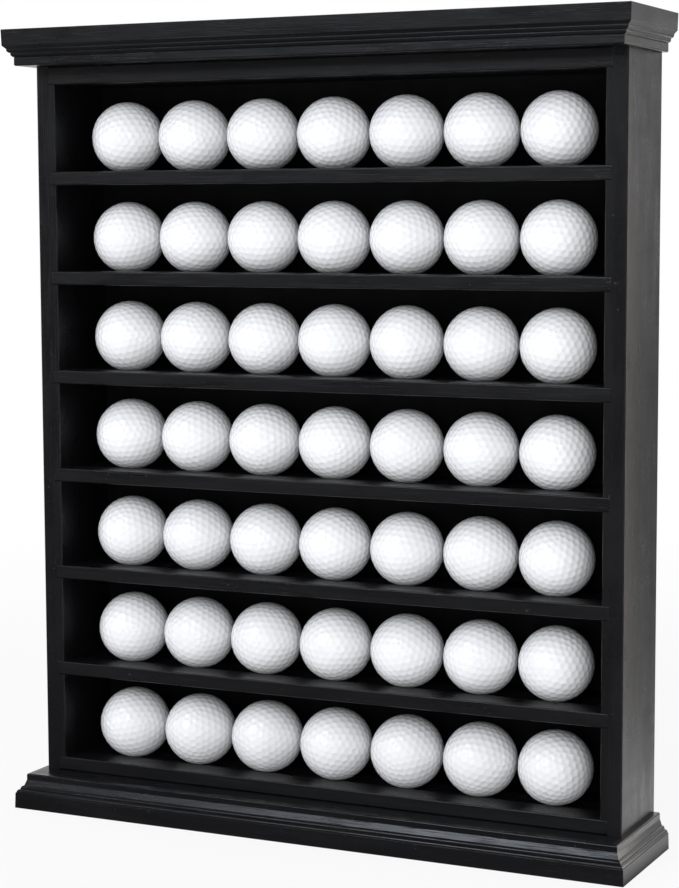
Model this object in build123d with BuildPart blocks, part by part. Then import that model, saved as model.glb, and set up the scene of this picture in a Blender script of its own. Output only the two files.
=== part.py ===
from build123d import *
import os

os.makedirs("parts", exist_ok=True)

# A golf ball display case: an open-fronted wooden carcass of seven bays between a moulded base
# and a moulded crown, with a row of balls in each bay. Millimetres, +Z up, the front faces -Y,
# and the origin is under the middle of the whole case.

# Golf balls and the room round them
ball_diameter = 42.67
balls_per_row = 7
ball_gap = 2.73  # between neighbours in a row
end_gap = 13.5  # from the last ball to the side panel
head_room = 10.0  # from the top of a ball to the shelf above it
space_before_balls = 4.3  # back from the front edge of a shelf
space_behind_balls = 7.0  # to the back panel

# The groove along each shelf that a row rests in
groove_depth = 1.7
groove_clearance = 0.6  # how much larger the groove's radius is than the ball's
ball_seat_gap = 0.1

# Carcass
row_count = 7
side_thickness = 12.5
shelf_thickness = 8.0
top_panel_thickness = 10.5
back_panel_thickness = 3.0
housing_depth = 4.0  # how far the shelves are let into the side panels
back_rabbet_width = 6.0
glue_gap = 0.1  # at the ends of the housed panels and round the back panel
arris_radius = 0.8

# The mouldings round three sides of the base board and the crown board. From its outer edge each
# has a wide fascia, a lead-in to two reeds on a slope, a splay and a narrow band.
board_front_reach = 14.4  # how far both boards stand out before the carcass
fascia_height = 9.4
fascia_projection = 9.0
fascia_taper = 0.3  # how far it leans in towards the reeds
fascia_round = 0.3
reed_rise = 0.55  # how far a reed stands off the slope
quirk = 0.3  # the groove between the reeds
band_projection = 3.6
band_round = 0.9

base_moulding_height = 20.5
base_ledge = 0.5  # flat on top of the fascia
base_reed_width = 2.4
base_reed_slope = 41.0  # degrees off upright
base_splay_height = 3.5

crown_moulding_height = 21.0
crown_lead_in_run = 1.9
crown_lead_in_height = 1.95
crown_reed_width = 2.7
crown_reed_slope = 35.5
crown_splay_height = 0.3

# Screws and dowels that hold the side panels between the boards
fixing_spacing = 30.0  # from front to back
base_screw_head_radius = 3.8
base_screw_radius = 1.8
base_screw_length = 45.0
dowel_radius = 3.0
dowel_length = 30.0
dowel_chamfer = 0.6

# Pins round the edge of the back panel
pin_head_radius = 1.2
pin_head_thickness = 0.6
pin_radius = 0.6
pin_length = 12.0
end_pin_margin = 40.0  # from a side panel to the first pin in the top and bottom panels

# Keyhole plates let into the back edge of the crown board
hanger_spacing = 240.0
plate_length = 38.0
plate_height = 16.0
plate_corner = 3.0
plate_thickness = 1.6
plate_fit = 0.1
keyhole_entry_radius = 4.0
keyhole_neck_radius = 2.1
keyhole_travel = 6.0
keyhole_pocket_depth = 8.0
keyhole_pocket_clearance = 0.5
plate_screw_spacing = 28.0
plate_screw_head_radius = 2.7
plate_screw_radius = 1.4
plate_screw_length = 14.0
drive_width = 0.7  # of the cross in a screw's head
drive_depth = 0.9

# Sizes that follow
ball_radius = ball_diameter / 2
ball_pitch = ball_diameter + ball_gap
groove_radius = ball_radius + groove_clearance
interior_width = balls_per_row * ball_pitch - ball_gap + 2 * end_gap
interior_depth = space_before_balls + ball_diameter + space_behind_balls
bay_height = ball_diameter - groove_depth + head_room
row_pitch = shelf_thickness + bay_height
case_width = interior_width + 2 * side_thickness
case_depth = interior_depth + back_panel_thickness
carcass_height = row_count * row_pitch + top_panel_thickness
housed_length = interior_width + 2 * (housing_depth - glue_gap)
board_depth = case_depth + board_front_reach
total_height = base_moulding_height + carcass_height + crown_moulding_height

# Places
back_y = (board_depth + fascia_projection) / 2
case_front_y = back_y - case_depth
board_front_y = back_y - board_depth
side_middle_y = case_front_y + interior_depth / 2
ball_y = case_front_y + space_before_balls + ball_radius
carcass_bottom_z = base_moulding_height
carcass_top_z = carcass_bottom_z + carcass_height
fixing_x = interior_width / 2 + (side_thickness + housing_depth) / 2
side_pin_x = (interior_width + back_rabbet_width) / 2
end_pin_x = interior_width / 2 - end_pin_margin
front_corner_x = case_width / 2 + fascia_projection
moulding_reach = board_depth + fascia_projection

# Planes
underside = Plane(origin=(0, side_middle_y, 0), x_dir=(1, 0, 0), z_dir=(0, 0, -1))
crown_joint = Plane(origin=(0, side_middle_y, carcass_top_z))
rear_face = Plane(origin=(0, back_y, 0), x_dir=(-1, 0, 0), z_dir=(0, 1, 0))
hanger_face = Plane(
    origin=(0, back_y, total_height - crown_moulding_height / 2),
    x_dir=(-1, 0, 0),
    z_dir=(0, 1, 0),
)
left_mitre = Plane(origin=(-case_width / 2, board_front_y, 0), z_dir=(1, -1, 0))
right_mitre = Plane(origin=(case_width / 2, board_front_y, 0), z_dir=(-1, -1, 0))
base_right_end = Plane(
    origin=(front_corner_x, board_front_y, 0), x_dir=(0, -1, 0), z_dir=(-1, 0, 0)
)
base_back_end = Plane(origin=(-case_width / 2, back_y, 0), x_dir=(-1, 0, 0), z_dir=(0, 1, 0))
crown_left_end = Plane(
    origin=(-front_corner_x, board_front_y, total_height), x_dir=(0, -1, 0), z_dir=(1, 0, 0)
)
crown_back_end = Plane(
    origin=(-case_width / 2, back_y, total_height), x_dir=(-1, 0, 0), z_dir=(0, -1, 0)
)

# Alignments
inwards = (Align.CENTER, Align.CENTER, Align.MAX)
from_front = (Align.CENTER, Align.MIN)
back_from_front_top = (Align.CENTER, Align.MIN, Align.MAX)
into_left_side = (Align.MAX, Align.MIN, Align.MAX)

pieces = {}


def row_floor_z(row):
    """Height of the panel top under a row of balls. Row 1 is the highest."""
    return carcass_bottom_z + shelf_thickness + (row_count - row) * row_pitch


def housed_panel(top_z, thickness):
    """A panel that runs between the side panels, with its two front edges eased."""
    with Locations((0, case_front_y, top_z)):
        Box(housed_length, interior_depth, thickness, align=back_from_front_top)
    fillet(edges().filter_by(Axis.X).group_by(Axis.Y)[0], arris_radius)


def ball_groove(top_z):
    """A shallow groove along a panel's top, stopped at the side panels."""
    with Locations((0, ball_y, top_z - groove_depth + groove_radius)):
        Cylinder(groove_radius, interior_width, rotation=(0, 90, 0), mode=Mode.SUBTRACT)


def wood_screw(head_radius, shank_radius, length):
    """A countersunk cross-head screw that goes in from the workplane."""
    Cone(shank_radius, head_radius, head_radius - shank_radius, align=inwards)
    Cylinder(shank_radius, length, align=inwards)
    Box(head_radius, drive_width, drive_depth, align=inwards, mode=Mode.SUBTRACT)
    Box(drive_width, head_radius, drive_depth, align=inwards, mode=Mode.SUBTRACT)


def moulding_section(plane, height, lead_in, reed_width, reed_slope, splay_height):
    """Across a moulding: X is out from the board's edge and Y is in from the fascia's outer edge.

    The lead-in goes from the fascia to the first reed.
    """
    fascia_end = Vector(fascia_projection - fascia_taper, fascia_height)
    along_slope = Vector(0, 1).rotate(Axis.Z, reed_slope)
    first_reed_start = fascia_end + Vector(*lead_in)
    second_reed_start = first_reed_start + along_slope * (reed_width + quirk)
    with BuildSketch(plane) as section:
        with BuildLine():
            fascia = Polyline((0, height), (0, 0), (fascia_projection, 0), fascia_end)
            first_reed = SagittaArc(
                first_reed_start, first_reed_start + along_slope * reed_width, -reed_rise
            )
            second_reed = SagittaArc(
                second_reed_start, second_reed_start + along_slope * reed_width, -reed_rise
            )
            Line(fascia @ 1, first_reed @ 0)
            Line(first_reed @ 1, second_reed @ 0)
            Polyline(
                second_reed @ 1,
                (band_projection, (second_reed @ 1).Y + splay_height),
                (band_projection, height),
                fascia @ 0,
            )
        make_face()
        fillet(vertices().sort_by(Axis.X)[-2:], fascia_round)
        fillet(vertices().group_by(Axis.Y)[-1].sort_by(Axis.X)[-1], band_round)
    return section.sketch


def base_section(plane):
    """The base's moulding, with a ledge before its reeds."""
    return moulding_section(
        plane,
        base_moulding_height,
        (-base_ledge, 0),
        base_reed_width,
        base_reed_slope,
        base_splay_height,
    )


def crown_section(plane):
    """The crown's moulding, with a slanting lead-in before its reeds."""
    return moulding_section(
        plane,
        crown_moulding_height,
        (-crown_lead_in_run, crown_lead_in_height),
        crown_reed_width,
        crown_reed_slope,
        crown_splay_height,
    )


# Fixings come first, because they cut the holes that they sit in

with BuildPart(underside) as base_screws:
    with GridLocations(2 * fixing_x, fixing_spacing, 2, 2):
        wood_screw(base_screw_head_radius, base_screw_radius, base_screw_length)
pieces["base_screws"] = base_screws

with BuildPart(crown_joint) as crown_dowels:
    with GridLocations(2 * fixing_x, fixing_spacing, 2, 2):
        Cylinder(dowel_radius, dowel_length)
    chamfer(edges().filter_by(GeomType.CIRCLE), dowel_chamfer)
pieces["crown_dowels"] = crown_dowels

side_pins = [
    (x, row_floor_z(row) + bay_height / 2)
    for x in (-side_pin_x, side_pin_x)
    for row in range(1, row_count + 1)
]
end_pins = [
    (x, z)
    for x in (-end_pin_x, 0, end_pin_x)
    for z in (
        carcass_bottom_z + shelf_thickness / 2,
        carcass_top_z - top_panel_thickness / 2,
    )
]
with BuildPart(rear_face) as back_panel_pins:
    with Locations(*side_pins, *end_pins):
        Cylinder(pin_head_radius, pin_head_thickness, align=inwards)
        Cylinder(pin_radius, pin_length, align=inwards)
pieces["back_panel_pins"] = back_panel_pins

with BuildPart(hanger_face) as hanger_screws:
    with GridLocations(hanger_spacing, 0, 2, 1):
        with GridLocations(plate_screw_spacing, 0, 2, 1):
            wood_screw(plate_screw_head_radius, plate_screw_radius, plate_screw_length)
pieces["hanger_screws"] = hanger_screws

# Carcass

with BuildPart() as left_side_panel:
    with BuildSketch(Plane.XY.offset(carcass_bottom_z)):
        with Locations((-interior_width / 2, case_front_y)):
            Rectangle(side_thickness, case_depth, align=(Align.MAX, Align.MIN))
        fillet(vertices().group_by(Axis.Y)[0], arris_radius)
    extrude(amount=carcass_height)
    for row in range(1, row_count + 1):
        with Locations((-interior_width / 2, case_front_y, row_floor_z(row))):
            Box(
                housing_depth,
                interior_depth,
                shelf_thickness,
                align=into_left_side,
                mode=Mode.SUBTRACT,
            )
    with Locations((-interior_width / 2, case_front_y, carcass_top_z)):
        Box(
            housing_depth,
            interior_depth,
            top_panel_thickness,
            align=into_left_side,
            mode=Mode.SUBTRACT,
        )
    with Locations((-interior_width / 2, back_y - back_panel_thickness, carcass_top_z)):
        Box(
            back_rabbet_width,
            back_panel_thickness,
            carcass_height,
            align=into_left_side,
            mode=Mode.SUBTRACT,
        )
    add(base_screws.part, mode=Mode.SUBTRACT)
    add(crown_dowels.part, mode=Mode.SUBTRACT)
    add(back_panel_pins.part, mode=Mode.SUBTRACT)
pieces["left_side_panel"] = left_side_panel

with BuildPart() as right_side_panel:
    mirror(left_side_panel.part, about=Plane.YZ)
pieces["right_side_panel"] = right_side_panel

with BuildPart() as top_panel:
    housed_panel(carcass_top_z, top_panel_thickness)
    add(back_panel_pins.part, mode=Mode.SUBTRACT)
pieces["top_panel"] = top_panel

for row in range(1, row_count):
    with BuildPart() as shelf:
        housed_panel(row_floor_z(row), shelf_thickness)
        ball_groove(row_floor_z(row))
    pieces[f"shelf_{row}"] = shelf

with BuildPart() as bottom_panel:
    housed_panel(row_floor_z(row_count), shelf_thickness)
    ball_groove(row_floor_z(row_count))
    add(back_panel_pins.part, mode=Mode.SUBTRACT)
pieces["bottom_panel"] = bottom_panel

with BuildPart() as back_panel:
    with BuildSketch(rear_face):
        with Locations((0, carcass_bottom_z + carcass_height / 2)):
            Rectangle(
                interior_width + 2 * (back_rabbet_width - glue_gap),
                carcass_height - 2 * glue_gap,
            )
    extrude(amount=-back_panel_thickness)
    add(back_panel_pins.part, mode=Mode.SUBTRACT)
pieces["back_panel"] = back_panel

# Base

with BuildPart(underside) as base_board:
    with BuildSketch(Plane.XY):
        with Locations((0, board_front_y)):
            Rectangle(case_width, board_depth, align=from_front)
    extrude(amount=base_moulding_height)
    with GridLocations(2 * fixing_x, fixing_spacing, 2, 2):
        CounterSinkHole(base_screw_radius, base_screw_head_radius, counter_sink_angle=90)
pieces["base_board"] = base_board

with BuildPart() as base_front_moulding:
    extrude(base_section(base_right_end), amount=2 * front_corner_x)
    split(bisect_by=left_mitre, keep=Keep.TOP)
    split(bisect_by=right_mitre, keep=Keep.TOP)
pieces["base_front_moulding"] = base_front_moulding

with BuildPart() as base_left_moulding:
    extrude(base_section(base_back_end), amount=-moulding_reach)
    split(bisect_by=left_mitre, keep=Keep.BOTTOM)
pieces["base_left_moulding"] = base_left_moulding

with BuildPart() as base_right_moulding:
    mirror(base_left_moulding.part, about=Plane.YZ)
pieces["base_right_moulding"] = base_right_moulding

# Crown, whose moulding has its fascia at the top

with BuildPart() as hanger_plates:
    with BuildSketch(hanger_face):
        with GridLocations(hanger_spacing, 0, 2, 1):
            RectangleRounded(plate_length, plate_height, plate_corner)
            with Locations((0, -keyhole_travel / 2)):
                Circle(keyhole_entry_radius, mode=Mode.SUBTRACT)
            SlotCenterToCenter(
                keyhole_travel, 2 * keyhole_neck_radius, rotation=90, mode=Mode.SUBTRACT
            )
    extrude(amount=-plate_thickness)
    with Locations(hanger_face):
        with GridLocations(hanger_spacing, 0, 2, 1):
            with GridLocations(plate_screw_spacing, 0, 2, 1):
                CounterSinkHole(
                    plate_screw_radius, plate_screw_head_radius, counter_sink_angle=90
                )
pieces["hanger_plates"] = hanger_plates

with BuildPart() as crown_board:
    with BuildSketch(Plane.XY.offset(carcass_top_z)):
        with Locations((0, board_front_y)):
            Rectangle(case_width, board_depth, align=from_front)
    extrude(amount=crown_moulding_height)
    with BuildSketch(hanger_face):
        with GridLocations(hanger_spacing, 0, 2, 1):
            RectangleRounded(
                plate_length + 2 * plate_fit,
                plate_height + 2 * plate_fit,
                plate_corner + plate_fit,
            )
    extrude(amount=-plate_thickness, mode=Mode.SUBTRACT)
    with BuildSketch(hanger_face):
        with GridLocations(hanger_spacing, 0, 2, 1):
            SlotCenterToCenter(
                keyhole_travel,
                2 * (keyhole_entry_radius + keyhole_pocket_clearance),
                rotation=90,
            )
    extrude(amount=-keyhole_pocket_depth, mode=Mode.SUBTRACT)
    add(hanger_screws.part, mode=Mode.SUBTRACT)
    add(crown_dowels.part, mode=Mode.SUBTRACT)
pieces["crown_board"] = crown_board

with BuildPart() as crown_front_moulding:
    extrude(crown_section(crown_left_end), amount=2 * front_corner_x)
    split(bisect_by=left_mitre, keep=Keep.TOP)
    split(bisect_by=right_mitre, keep=Keep.TOP)
pieces["crown_front_moulding"] = crown_front_moulding

with BuildPart() as crown_left_moulding:
    extrude(crown_section(crown_back_end), amount=moulding_reach)
    split(bisect_by=left_mitre, keep=Keep.BOTTOM)
pieces["crown_left_moulding"] = crown_left_moulding

with BuildPart() as crown_right_moulding:
    mirror(crown_left_moulding.part, about=Plane.YZ)
pieces["crown_right_moulding"] = crown_right_moulding

# Golf balls, a row to each bay

for row in range(1, row_count + 1):
    ball_z = row_floor_z(row) - groove_depth + ball_seat_gap + ball_radius
    with BuildPart(Plane(origin=(0, ball_y, ball_z))) as ball_row:
        with GridLocations(ball_pitch, 0, balls_per_row, 1):
            Sphere(ball_radius)
    pieces[f"ball_row_{row}"] = ball_row

for name, piece in pieces.items():
    piece.part.label = name
    export_step(piece.part, f"parts/{name}.step")
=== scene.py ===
import math
import random

import bpy
from mathutils import Matrix, Vector


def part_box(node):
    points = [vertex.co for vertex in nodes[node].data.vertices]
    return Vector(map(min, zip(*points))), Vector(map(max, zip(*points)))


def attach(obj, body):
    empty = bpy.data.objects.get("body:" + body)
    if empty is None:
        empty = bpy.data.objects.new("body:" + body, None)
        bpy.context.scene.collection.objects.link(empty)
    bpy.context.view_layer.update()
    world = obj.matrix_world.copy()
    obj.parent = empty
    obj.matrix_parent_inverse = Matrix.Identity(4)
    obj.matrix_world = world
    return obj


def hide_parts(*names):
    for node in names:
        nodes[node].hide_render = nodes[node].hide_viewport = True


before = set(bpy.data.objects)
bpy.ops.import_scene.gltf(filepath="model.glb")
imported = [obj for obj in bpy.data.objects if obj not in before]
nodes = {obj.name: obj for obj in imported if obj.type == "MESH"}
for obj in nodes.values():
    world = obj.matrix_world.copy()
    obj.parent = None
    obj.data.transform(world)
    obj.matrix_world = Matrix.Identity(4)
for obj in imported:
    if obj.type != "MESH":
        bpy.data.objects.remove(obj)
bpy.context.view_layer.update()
scene = bpy.context.scene
print("frame loaded:", len(nodes), "nodes")


# Small helpers for the node trees

def addNode(tree, kind, values=None, **settings):
    node = tree.nodes.new(kind)
    for name, value in settings.items():
        setattr(node, name, value)
    for socket, value in (values or {}).items():
        node.inputs[socket].default_value = value
    return node


def join(tree, source, target):
    tree.links.new(source, target)


def mathNode(tree, operation, first, second=None, third=None):
    node = addNode(tree, "ShaderNodeMath", operation=operation)
    for index, value in enumerate((first, second, third)):
        if value is None:
            continue
        if isinstance(value, (int, float)):
            node.inputs[index].default_value = value
        else:
            join(tree, value, node.inputs[index])
    return node.outputs[0]


def mapRange(tree, value, low, high, toLow=0.0, toHigh=1.0):
    node = addNode(tree, "ShaderNodeMapRange", interpolation_type="SMOOTHSTEP")
    for socket, number in {"From Min": low, "From Max": high, "To Min": toLow, "To Max": toHigh}.items():
        node.inputs[socket].default_value = number
    join(tree, value, node.inputs["Value"])
    return node.outputs["Result"]


def stretchedNoise(tree, vector, stretch, scale, detail=2.0, roughness=0.5):
    scaled = addNode(tree, "ShaderNodeVectorMath", operation="MULTIPLY")
    scaled.inputs[1].default_value = stretch
    join(tree, vector, scaled.inputs[0])
    noise = addNode(tree, "ShaderNodeTexNoise", {"Scale": scale, "Detail": detail, "Roughness": roughness})
    join(tree, scaled.outputs[0], noise.inputs["Vector"])
    return noise.outputs["Fac"]


def newGroup(name, inputs, outputs):
    group = bpy.data.node_groups.new(name, "ShaderNodeTree")
    for label, kind, value in inputs:
        socket = group.interface.new_socket(label, in_out="INPUT", socket_type=kind)
        socket.default_value = value
    for label, kind in outputs:
        group.interface.new_socket(label, in_out="OUTPUT", socket_type=kind)
    return group, addNode(group, "NodeGroupInput"), addNode(group, "NodeGroupOutput")


def placeGroup(tree, group, vector, values=None):
    node = addNode(tree, "ShaderNodeGroup", node_tree=group)
    for socket, value in (values or {}).items():
        node.inputs[socket].default_value = value
    join(tree, vector, node.inputs["Vector"])
    return node


# Shared effects

grainLook = {
    "pores": {"stretch": (1, 55, 55), "scale": 34, "detail": 3.0, "roughness": 0.6},
    "poreEdges": (0.52, 0.7),
    "figure": {"stretch": (1, 14, 14), "scale": 9, "detail": 2.0},
    "figureTones": (0.82, 1.18),
    "wave": {"stretch": (1, 2.5, 2.5), "scale": 16, "detail": 1.0},
    "peel": {"stretch": (1, 1, 1), "scale": 950, "detail": 1.5},
    "dulling": {"stretch": (1, 4, 4), "scale": 22, "detail": 3.0},
    "poreTone": -0.3,
    "poreSheen": 0.8,
    "poreHeight": -0.25,
    "peelHeight": 0.22,
    "waveHeight": 0.9,
}


def makeGrainGroup():
    # The grain of the wood under its paint, along X, with the paint's own fine texture
    group, start, end = newGroup(
        "Painted Grain",
        [("Vector", "NodeSocketVector", (0, 0, 0)),
         ("Grain", "NodeSocketFloat", 1.0),
         ("Peel", "NodeSocketFloat", 1.0)],
        [("Tone", "NodeSocketFloat"), ("Sheen", "NodeSocketFloat"), ("Height", "NodeSocketFloat")])
    look = grainLook
    vector = start.outputs["Vector"]
    pores = mapRange(group, stretchedNoise(group, vector, **look["pores"]), *look["poreEdges"])
    figure = stretchedNoise(group, vector, **look["figure"])
    wave = stretchedNoise(group, vector, **look["wave"])
    peel = stretchedNoise(group, vector, **look["peel"])
    dulling = stretchedNoise(group, vector, **look["dulling"])
    tone = mapRange(group, figure, 0.3, 0.7, *look["figureTones"])
    porous = mathNode(group, "MULTIPLY", pores, start.outputs["Grain"])
    peeled = mathNode(group, "MULTIPLY", peel, start.outputs["Peel"])
    join(group, mathNode(group, "MULTIPLY_ADD", porous, look["poreTone"], tone), end.inputs["Tone"])
    sheen = mapRange(group, dulling, 0.35, 0.65, -1.0, 1.0)
    join(group, mathNode(group, "MULTIPLY_ADD", porous, look["poreSheen"], sheen), end.inputs["Sheen"])
    texture = mathNode(group, "MULTIPLY", peeled, look["peelHeight"])
    height = mathNode(group, "MULTIPLY_ADD", porous, look["poreHeight"], texture)
    join(group, mathNode(group, "MULTIPLY_ADD", wave, look["waveHeight"], height), end.inputs["Height"])
    return group


def makeEdgeGroup():
    # How near a point is to an edge of the box between Low and High: 1 on the edge, 0 past Width
    group, start, end = newGroup(
        "Box Edges",
        [("Vector", "NodeSocketVector", (0, 0, 0)),
         ("Low", "NodeSocketVector", (0, 0, 0)),
         ("High", "NodeSocketVector", (1, 1, 1)),
         ("Width", "NodeSocketFloat", 0.001)],
        [("Mask", "NodeSocketFloat")])
    above = addNode(group, "ShaderNodeVectorMath", operation="SUBTRACT")
    join(group, start.outputs["Vector"], above.inputs[0])
    join(group, start.outputs["Low"], above.inputs[1])
    below = addNode(group, "ShaderNodeVectorMath", operation="SUBTRACT")
    join(group, start.outputs["High"], below.inputs[0])
    join(group, start.outputs["Vector"], below.inputs[1])
    nearest = addNode(group, "ShaderNodeVectorMath", operation="MINIMUM")
    join(group, above.outputs[0], nearest.inputs[0])
    join(group, below.outputs[0], nearest.inputs[1])
    parts = addNode(group, "ShaderNodeSeparateXYZ")
    join(group, nearest.outputs[0], parts.inputs[0])
    x, y, z = parts.outputs
    lower = mathNode(group, "MINIMUM", x, y)
    upper = mathNode(group, "MAXIMUM", x, y)
    second = mathNode(group, "MAXIMUM", lower, mathNode(group, "MINIMUM", upper, z))
    share = mathNode(group, "DIVIDE", second, start.outputs["Width"])
    join(group, mapRange(group, share, 0.0, 1.0, 1.0, 0.0), end.inputs["Mask"])
    return group


marksLook = {
    "specks": {"stretch": (1, 1, 1), "scale": 620, "detail": 1.0},
    "speckEdges": (0.70, 0.78),
    "patches": {"stretch": (1, 1, 1), "scale": 38, "detail": 2.0},
    "patchEdges": (0.5, 0.62),
    "smudges": {"stretch": (1, 1, 3), "scale": 30, "detail": 3.0, "roughness": 0.6},
    "smudgeEdges": (0.42, 0.68),
}


def makeMarksGroup():
    # Sparse specks and faint wiped smudges from handling
    group, start, end = newGroup(
        "Handling Marks",
        [("Vector", "NodeSocketVector", (0, 0, 0)), ("Amount", "NodeSocketFloat", 1.0)],
        [("Specks", "NodeSocketFloat"), ("Smudges", "NodeSocketFloat")])
    look = marksLook
    vector = start.outputs["Vector"]
    fine = mapRange(group, stretchedNoise(group, vector, **look["specks"]), *look["speckEdges"])
    where = mapRange(group, stretchedNoise(group, vector, **look["patches"]), *look["patchEdges"])
    dots = mathNode(group, "MULTIPLY", fine, where)
    join(group, mathNode(group, "MULTIPLY", dots, start.outputs["Amount"]), end.inputs["Specks"])
    wiped = mapRange(group, stretchedNoise(group, vector, **look["smudges"]), *look["smudgeEdges"])
    join(group, mathNode(group, "MULTIPLY", wiped, start.outputs["Amount"]), end.inputs["Smudges"])
    return group


grainGroup = makeGrainGroup()
edgeGroup = makeEdgeGroup()
marksGroup = makeMarksGroup()
print("shared effects ready")


# Materials

def newMaterial(name):
    material = bpy.data.materials.new(name)
    material.use_nodes = True
    tree = material.node_tree
    shader = tree.nodes["Principled BSDF"]
    place = addNode(tree, "ShaderNodeTexCoord").outputs["Object"]
    return material, tree, shader, place


blackPaint = {
    "colour": (0.005, 0.005, 0.006, 1),
    # The lighter colour laid along edges and specks: partly wear, partly a painted highlight on the arrises
    "wornAndHighlit": (0.06, 0.058, 0.062, 1),
    "roughness": 0.3,
    "roughnessSpread": 0.04,
    "specular": 0.5,
    "bumpDistance": 0.00012,
    "wearAndHighlight": 0.22,
    "wearAndHighlightWidth": 0.0008,
    "speckWear": 0.6,
    "smudgeRoughness": 0.05,
    "wornAndHighlitRoughness": 0.25,
    "turn": {"x": (0, 0, 0), "y": (0, 0, math.pi / 2), "z": (0, math.pi / 2, 0)},
}


# Values set to bring each piece's tone near the photo's in its own view. Apart from the back board,
# guessed to be matt, they don't stand for different finishes, and right and left aren't alike
# The specular levels here are painted light and shade: more sheen on the right mouldings, less on the side
# panels and base board, for how the light falls on each
backFinishAndPaintedSheen = {
    "back_panel": {"colour": (0.003, 0.0031, 0.003, 1), "roughness": 0.6, "specular": 0.2},
    "left_side_panel": {"specular": 0.45},
    "right_side_panel": {"specular": 0.45},
    "base_board": {"roughness": 0.18, "specular": 0.15},
    "base_front_moulding": {"roughness": 0.22},
    "crown_right_moulding": {"specular": 1.0},
    "base_right_moulding": {"specular": 1.0},
}


def makeBlackPaint(node, grainAlong):
    paint = {**blackPaint, **backFinishAndPaintedSheen.get(node, {})}
    material, tree, shader, place = newMaterial("blackPaint_" + node)
    turned = addNode(tree, "ShaderNodeMapping", {"Rotation": paint["turn"][grainAlong]})
    join(tree, place, turned.inputs["Vector"])
    grain = placeGroup(tree, grainGroup, turned.outputs[0])
    low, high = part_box(node)
    edges = placeGroup(tree, edgeGroup, place, {"Low": low, "High": high, "Width": paint["wearAndHighlightWidth"]})
    marks = placeGroup(tree, marksGroup, place)
    # Lighter colour along the box edges, in patches, with specks: partly paint rubbed off the arrises,
    # partly a painted highlight along them
    patchy = mapRange(tree, stretchedNoise(tree, place, (1, 1, 1), 140, 3.0), 0.45, 0.65)
    edgeWearAndHighlightMask = mathNode(tree, "MULTIPLY", edges.outputs["Mask"], patchy)
    edgeWearAndHighlight = mathNode(tree, "MULTIPLY", edgeWearAndHighlightMask, paint["wearAndHighlight"])
    specks = mathNode(tree, "MULTIPLY", marks.outputs["Specks"], paint["speckWear"])
    wornAndHighlit = mathNode(tree, "MAXIMUM", edgeWearAndHighlight, specks)

    toned = addNode(tree, "ShaderNodeVectorMath", operation="SCALE")
    toned.inputs[0].default_value = paint["colour"][:3]
    join(tree, grain.outputs["Tone"], toned.inputs["Scale"])
    colour = addNode(tree, "ShaderNodeMix", data_type="RGBA")
    join(tree, wornAndHighlit, colour.inputs["Factor"])
    join(tree, toned.outputs[0], colour.inputs["A"])
    colour.inputs["B"].default_value = paint["wornAndHighlit"]
    join(tree, colour.outputs["Result"], shader.inputs["Base Color"])

    spread = paint["roughnessSpread"]
    sheen = mathNode(tree, "MULTIPLY_ADD", grain.outputs["Sheen"], spread, paint["roughness"])
    smudged = mathNode(tree, "MULTIPLY_ADD", marks.outputs["Smudges"], paint["smudgeRoughness"], sheen)
    roughened = mathNode(tree, "MULTIPLY_ADD", wornAndHighlit, paint["wornAndHighlitRoughness"], smudged)
    join(tree, roughened, shader.inputs["Roughness"])
    bump = addNode(tree, "ShaderNodeBump", {"Strength": 1.0, "Distance": paint["bumpDistance"]})
    join(tree, grain.outputs["Height"], bump.inputs["Height"])
    join(tree, bump.outputs[0], shader.inputs["Normal"])
    shader.inputs["Specular IOR Level"].default_value = paint["specular"]
    return material


golfBall = {
    "colour": (0.88, 0.885, 0.90, 1),
    "cloudColour": (0.83, 0.84, 0.865, 1),
    "roughness": 0.24,
    "coat": 0.6,
    "coatRoughness": 0.09,
    "cuts": 5,            # each edge of the icosahedron becomes six, which gives 362 dimples
    "rim": 0.00092,       # from the ridge round a dimple to its bowl
    "depth": 0.00042,
    "seed": 11,
    "rows": 7,
    "perRow": 7,
}


def makeBallCover():
    ball = golfBall
    material, tree, shader, place = newMaterial("ballCover")
    marks = placeGroup(tree, marksGroup, place, {"Amount": 0.6})
    cloud = stretchedNoise(tree, place, (1, 1, 1), 60, 2.0)
    colour = addNode(tree, "ShaderNodeMix", data_type="RGBA")
    colour.inputs["A"].default_value = ball["colour"]
    colour.inputs["B"].default_value = ball["cloudColour"]
    join(tree, mapRange(tree, cloud, 0.4, 0.75), colour.inputs["Factor"])
    join(tree, colour.outputs["Result"], shader.inputs["Base Color"])
    join(tree, mathNode(tree, "MULTIPLY_ADD", marks.outputs["Smudges"], 0.08, ball["roughness"]),
         shader.inputs["Roughness"])
    fine = stretchedNoise(tree, place, (1, 1, 1), 1500, 1.0)
    bump = addNode(tree, "ShaderNodeBump", {"Strength": 0.25, "Distance": 0.00002})
    join(tree, fine, bump.inputs["Height"])
    join(tree, bump.outputs[0], shader.inputs["Normal"])
    shader.inputs["Coat Weight"].default_value = ball["coat"]
    shader.inputs["Coat Roughness"].default_value = ball["coatRoughness"]
    return material


zinc = {"colour": (0.52, 0.53, 0.54, 1), "bright": (0.70, 0.70, 0.69, 1), "roughness": 0.32}


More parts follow.
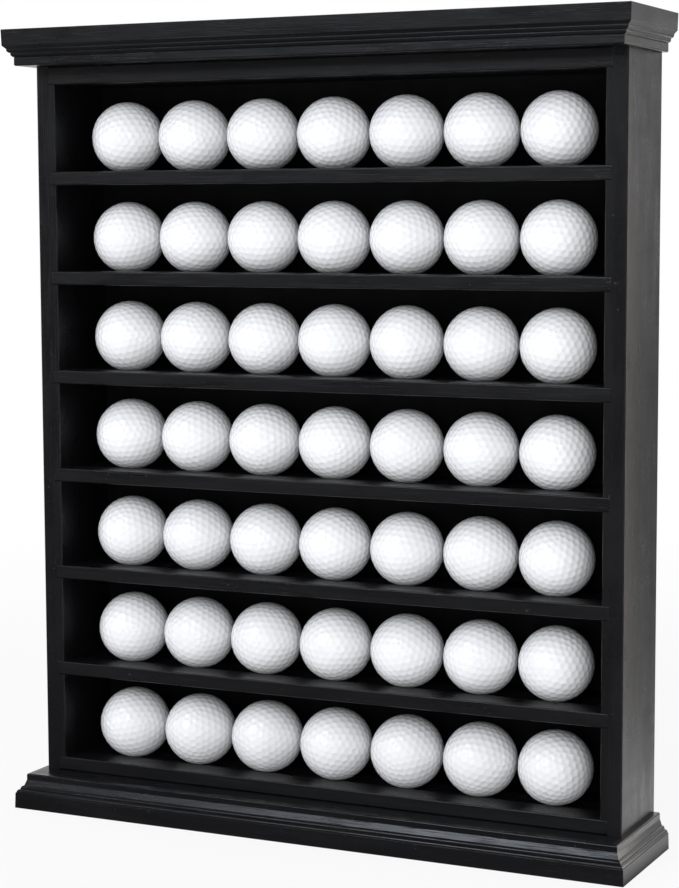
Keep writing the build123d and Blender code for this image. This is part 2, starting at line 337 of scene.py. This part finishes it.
def makeZinc():
    material, tree, shader, place = newMaterial("zincPlate")
    spangle = stretchedNoise(tree, place, (1, 1, 1), 420, 3.0, 0.6)
    brushed = stretchedNoise(tree, place, (1, 1, 40), 60, 2.0)
    marks = placeGroup(tree, marksGroup, place, {"Amount": 0.8})
    colour = addNode(tree, "ShaderNodeMix", data_type="RGBA")
    colour.inputs["A"].default_value = zinc["colour"]
    colour.inputs["B"].default_value = zinc["bright"]
    join(tree, mapRange(tree, spangle, 0.35, 0.65), colour.inputs["Factor"])
    join(tree, colour.outputs["Result"], shader.inputs["Base Color"])
    dull = mathNode(tree, "MULTIPLY_ADD", marks.outputs["Smudges"], 0.12, zinc["roughness"])
    join(tree, dull, shader.inputs["Roughness"])
    bump = addNode(tree, "ShaderNodeBump", {"Strength": 0.4, "Distance": 0.00003})
    join(tree, brushed, bump.inputs["Height"])
    join(tree, bump.outputs[0], shader.inputs["Normal"])
    shader.inputs["Metallic"].default_value = 1.0
    return material


bareBeech = {"pale": (0.60, 0.43, 0.27, 1), "dark": (0.44, 0.29, 0.17, 1), "roughness": 0.6}


def makeBareBeech():
    material, tree, shader, place = newMaterial("bareBeech")
    turned = addNode(tree, "ShaderNodeMapping", {"Rotation": blackPaint["turn"]["z"]})
    join(tree, place, turned.inputs["Vector"])
    grain = placeGroup(tree, grainGroup, turned.outputs[0])
    colour = addNode(tree, "ShaderNodeMix", data_type="RGBA")
    colour.inputs["A"].default_value = bareBeech["dark"]
    colour.inputs["B"].default_value = bareBeech["pale"]
    join(tree, mapRange(tree, grain.outputs["Tone"], 0.7, 1.2), colour.inputs["Factor"])
    join(tree, colour.outputs["Result"], shader.inputs["Base Color"])
    join(tree, mathNode(tree, "MULTIPLY_ADD", grain.outputs["Sheen"], 0.05, bareBeech["roughness"]),
         shader.inputs["Roughness"])
    bump = addNode(tree, "ShaderNodeBump", {"Strength": 0.6, "Distance": 0.0001})
    join(tree, grain.outputs["Height"], bump.inputs["Height"])
    join(tree, bump.outputs[0], shader.inputs["Normal"])
    return material


# Which way the grain runs in each wooden piece, and the pieces that differ from plain black paint
grainDirections = {
    "x": ["top_panel", "bottom_panel", "base_board", "crown_board", "base_front_moulding",
          "crown_front_moulding"] + [f"shelf_{row}" for row in range(1, golfBall["rows"])],
    "y": ["base_left_moulding", "base_right_moulding", "crown_left_moulding", "crown_right_moulding"],
    "z": ["left_side_panel", "right_side_panel", "back_panel"],
}
ballCover = makeBallCover()
zincPlate = makeZinc()
beech = makeBareBeech()

for along, names in grainDirections.items():
    for name in names:
        nodes[name].material_slots[0].material = makeBlackPaint(name, along)
for name in ("base_screws", "back_panel_pins", "hanger_screws", "hanger_plates"):
    nodes[name].material_slots[0].material = zincPlate
nodes["crown_dowels"].material_slots[0].material = beech
print("materials placed on the wooden and metal nodes")


# Golf balls

def editMode():
    bpy.ops.object.mode_set(mode="EDIT")


def objectMode():
    bpy.ops.object.mode_set(mode="OBJECT")


def pick(parts, wanted):
    # Selects vertices, edges or faces of the mesh in object mode, by what wanted says of each
    for part in parts:
        part.select = wanted(part)


def makeDimpledBall(radius):
    ball = golfBall
    bpy.ops.object.select_all(action="DESELECT")
    bpy.ops.mesh.primitive_ico_sphere_add(subdivisions=1, radius=radius, location=(0, 0, 0))
    made = bpy.context.object
    editMode()
    bpy.ops.mesh.subdivide(number_cuts=ball["cuts"])
    bpy.ops.transform.tosphere(value=1)
    objectMode()
    corners = len(made.data.vertices)

    # Each triangle gets a middle point, and each old edge is turned to join two middles, so that
    # the old corners end up inside a net of six-sided cells, one for each dimple
    editMode()
    bpy.ops.mesh.select_all(action="SELECT")
    bpy.ops.mesh.poke()
    bpy.ops.mesh.select_all(action="SELECT")
    bpy.ops.transform.tosphere(value=1)
    bpy.ops.mesh.select_mode(type="EDGE")
    bpy.ops.mesh.select_all(action="DESELECT")
    objectMode()
    pick(made.data.edges, lambda edge: max(edge.vertices) < corners)
    editMode()
    bpy.ops.mesh.edge_rotate()
    bpy.ops.mesh.select_mode(type="VERT")
    bpy.ops.mesh.select_all(action="DESELECT")
    objectMode()
    pick(made.data.vertices, lambda corner: corner.index < corners)
    editMode()
    bpy.ops.mesh.dissolve_verts()

    # Each cell is pressed in behind its ridge, and the smoothing rounds ridge and bowl
    bpy.ops.mesh.select_mode(type="FACE")
    bpy.ops.mesh.select_all(action="SELECT")
    bpy.ops.mesh.inset(thickness=ball["rim"], depth=-ball["depth"], use_individual=True)
    objectMode()
    smoothing = made.modifiers.new("smoothing", "SUBSURF")
    smoothing.levels = smoothing.render_levels = 1
    bpy.ops.object.modifier_apply(modifier="smoothing")
    bpy.ops.object.shade_smooth()
    reach = max(vertex.co.length for vertex in made.data.vertices)
    made.data.transform(Matrix.Scale(radius / reach, 4))
    return made


def makeBallRow(row, pattern, turns):
    node = f"ball_row_{row}"
    low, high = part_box(node)
    radius = (high.z - low.z) / 2
    first = low.x + radius
    count = golfBall["perRow"]
    pitch = (high.x - low.x - 2 * radius) / (count - 1)
    bpy.ops.object.select_all(action="DESELECT")
    for index in range(count):
        mesh = pattern.data.copy()
        turn = Matrix.Rotation(turns.uniform(0, 2 * math.pi), 4, Vector((
            turns.gauss(0, 1), turns.gauss(0, 1), turns.gauss(0, 1))).normalized())
        centre = Vector((first + index * pitch, (low.y + high.y) / 2, (low.z + high.z) / 2))
        mesh.transform(Matrix.Translation(centre) @ turn)
        copy = bpy.data.objects.new(f"golf_balls_row_{row}", mesh)
        scene.collection.objects.link(copy)
        copy.select_set(True)
        bpy.context.view_layer.objects.active = copy
    bpy.ops.object.join()
    balls = bpy.context.object
    balls.name = f"golf_balls_row_{row}"
    balls.data.materials.clear()
    balls.data.materials.append(ballCover)
    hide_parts(node)
    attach(balls, "root")
    return balls


ballLow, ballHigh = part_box("ball_row_1")
patternBall = makeDimpledBall((ballHigh.z - ballLow.z) / 2)
print("one ball:", len(patternBall.data.polygons), "faces")
turns = random.Random(golfBall["seed"])
for row in range(1, golfBall["rows"] + 1):
    makeBallRow(row, patternBall, turns)
bpy.data.objects.remove(patternBall)
print("ball rows made")


# Floor, light and camera

# What the camera sees of floor and room is white, apart from the shadow near the case. Gloss is shown
# something else: white behind the case, a dim room before it, and a bright strip of floor on its right
roomLight = {"seen": 1.0, "behind": 1.0, "right": 0.32, "beside": 0.3, "besideNear": 1.15,
             "before": 0.08, "floorBefore": 0.09, "soft": 0.6}
floorLook = {"size": (9.0, 7.0), "at": (0, 2.4, 0), "colour": (0.9, 0.9, 0.9, 1),
             "whiteNear": 0.88, "near": 0.4, "far": 1.4, "roughness": 0.9, "specular": 0.1,
             "behindFrom": (-0.05, 0.3), "besideFrom": (0.19, 0.21), "fading": (0.22, 0.3)}


def makeFloor():
    bpy.ops.object.select_all(action="DESELECT")
    bpy.ops.mesh.primitive_plane_add(size=1, location=floorLook["at"])
    floor = bpy.context.object
    floor.name = "floor"
    floor.scale = (*floorLook["size"], 1)
    bpy.ops.object.transform_apply(location=True, rotation=False, scale=True)
    material, tree, shader, place = newMaterial("floor")
    shader.inputs["Base Color"].default_value = floorLook["colour"]
    shader.inputs["Roughness"].default_value = floorLook["roughness"]
    shader.inputs["Specular IOR Level"].default_value = floorLook["specular"]
    path = addNode(tree, "ShaderNodeLightPath")
    spot = addNode(tree, "ShaderNodeSeparateXYZ")
    join(tree, place, spot.inputs[0])
    away = addNode(tree, "ShaderNodeVectorMath", operation="LENGTH")
    join(tree, place, away.inputs[0])
    near, far = floorLook["near"], floorLook["far"]
    whiteness = mapRange(tree, away.outputs["Value"], near, far, floorLook["whiteNear"], 1.0)
    seen = mathNode(tree, "MULTIPLY", path.outputs["Is Camera Ray"], whiteness)
    reflected = mathNode(tree, "MAXIMUM", path.outputs["Is Glossy Ray"], path.outputs["Is Transmission Ray"])
    share = mathNode(tree, "MAXIMUM", seen, reflected)
    before, beyond = roomLight["floorBefore"], roomLight["behind"]
    behind = mapRange(tree, spot.outputs["Y"], *floorLook["behindFrom"], before, beyond)
    close, distant = roomLight["besideNear"], roomLight["beside"]
    beside = mapRange(tree, spot.outputs["X"], *floorLook["fading"], close, distant)
    besideShare = mapRange(tree, spot.outputs["X"], *floorLook["besideFrom"])
    glossy = addNode(tree, "ShaderNodeMix")
    join(tree, besideShare, glossy.inputs["Factor"])
    join(tree, behind, glossy.inputs["A"])
    join(tree, beside, glossy.inputs["B"])
    strength = addNode(tree, "ShaderNodeMix", {"A": roomLight["seen"]})
    join(tree, reflected, strength.inputs["Factor"])
    join(tree, glossy.outputs["Result"], strength.inputs["B"])
    white = addNode(tree, "ShaderNodeEmission", {"Color": (1, 1, 1, 1)})
    join(tree, strength.outputs["Result"], white.inputs["Strength"])
    mixed = addNode(tree, "ShaderNodeMixShader")
    join(tree, share, mixed.inputs[0])
    join(tree, shader.outputs[0], mixed.inputs[1])
    join(tree, white.outputs[0], mixed.inputs[2])
    join(tree, mixed.outputs[0], tree.nodes["Material Output"].inputs["Surface"])
    floor.data.materials.append(material)


def makeRoom():
    world = bpy.data.worlds.new("room")
    scene.world = world
    world.use_nodes = True
    tree = world.node_tree
    back = tree.nodes["Background"]
    path = addNode(tree, "ShaderNodeLightPath")
    direction = addNode(tree, "ShaderNodeSeparateXYZ")
    join(tree, addNode(tree, "ShaderNodeTexCoord").outputs["Generated"], direction.inputs[0])
    behind = mapRange(tree, direction.outputs["Y"], -0.3, 0.5, roomLight["before"], roomLight["behind"])
    right = mapRange(tree, direction.outputs["X"], 0.05, 0.4, 1.0, roomLight["right"])
    glossy = mathNode(tree, "MULTIPLY", behind, right)
    reflected = mathNode(tree, "MAXIMUM", path.outputs["Is Glossy Ray"], path.outputs["Is Transmission Ray"])
    strength = addNode(tree, "ShaderNodeMix", {"A": roomLight["soft"]})
    join(tree, reflected, strength.inputs["Factor"])
    join(tree, glossy, strength.inputs["B"])
    shown = addNode(tree, "ShaderNodeMix", {"B": roomLight["seen"]})
    join(tree, path.outputs["Is Camera Ray"], shown.inputs["Factor"])
    join(tree, strength.outputs["Result"], shown.inputs["A"])
    back.inputs["Color"].default_value = (1, 1, 1, 1)
    join(tree, shown.outputs["Result"], back.inputs["Strength"])


# Each lamp's glow is its radiance, so a larger one gives more light and looks as bright. The two
# fills don't show in gloss, and sidePanel stands close to the right side and lights that alone
lamps = {
    "key": {"at": (-1.42, -3.75, 2.25), "aim": (0, 0, 0.2), "size": (1.2, 1.8), "glow": 5.9,
            "colour": (0.84, 0.9, 1.0)},
    "broad": {"at": (0.95, -1.85, 0.42), "aim": (0, 0, 0.23), "size": (1.3, 1.2), "glow": 0.85},
    "left": {"at": (-1.7, -0.85, 0.4), "aim": (0, 0, 0.23), "size": (0.7, 0.8), "glow": 1.4},
    "fill": {"at": (0.15, -1.3, 0.12), "aim": (0, 0, 0.3), "size": (2.2, 0.5), "glow": 2.2,
             "shine": False},
    "topFill": {"at": (0.2, -1.0, 1.05), "aim": (0, 0, 0.23), "size": (1.6, 0.6), "glow": 0.8,
                "shine": False},
    "sidePanel": {"at": (0.272, 0.06, 0.21), "aim": (0.2075, -0.07, 0.21), "size": (0.06, 0.46),
                  "glow": 1.2, "colour": (1.0, 0.9, 0.82), "spread": 100},
}


def makeLamp(name, lamp):
    data = bpy.data.lights.new(name, "AREA")
    data.shape = "RECTANGLE"
    data.size, data.size_y = lamp["size"]
    data.energy = lamp["glow"] * math.pi * data.size * data.size_y
    data.color = lamp.get("colour", (1, 1, 1))
    data.spread = math.radians(lamp.get("spread", 180))
    light = bpy.data.objects.new(name, data)
    scene.collection.objects.link(light)
    light.visible_camera = False
    light.visible_glossy = lamp.get("shine", True)
    light.location = lamp["at"]
    light.rotation_euler = (Vector(lamp["aim"]) - Vector(lamp["at"])).to_track_quat("-Z", "Y").to_euler()


photoCamera = {
    "at": (0.5622, -1.1594, 0.3586),
    "yaw": 25.594,
    "pitch": 5.901,
    "roll": -0.212,
    "lens": 91.44,
}


def makeCamera():
    data = bpy.data.cameras.new("photoCamera")
    data.lens = photoCamera["lens"]
    data.clip_start, data.clip_end = 0.05, 50
    camera = bpy.data.objects.new("photoCamera", data)
    scene.collection.objects.link(camera)
    yaw, pitch, roll = (math.radians(photoCamera[name]) for name in ("yaw", "pitch", "roll"))
    turn = Matrix.Rotation(yaw, 4, "Z") @ Matrix.Rotation(math.pi / 2 - pitch, 4, "X")
    camera.matrix_world = Matrix.Translation(photoCamera["at"]) @ turn @ Matrix.Rotation(roll, 4, "Z")
    scene.camera = camera


makeFloor()
makeRoom()
for name, lamp in lamps.items():
    makeLamp(name, lamp)
makeCamera()
scene.view_settings.view_transform = "Standard"
print("floor, light and camera ready")
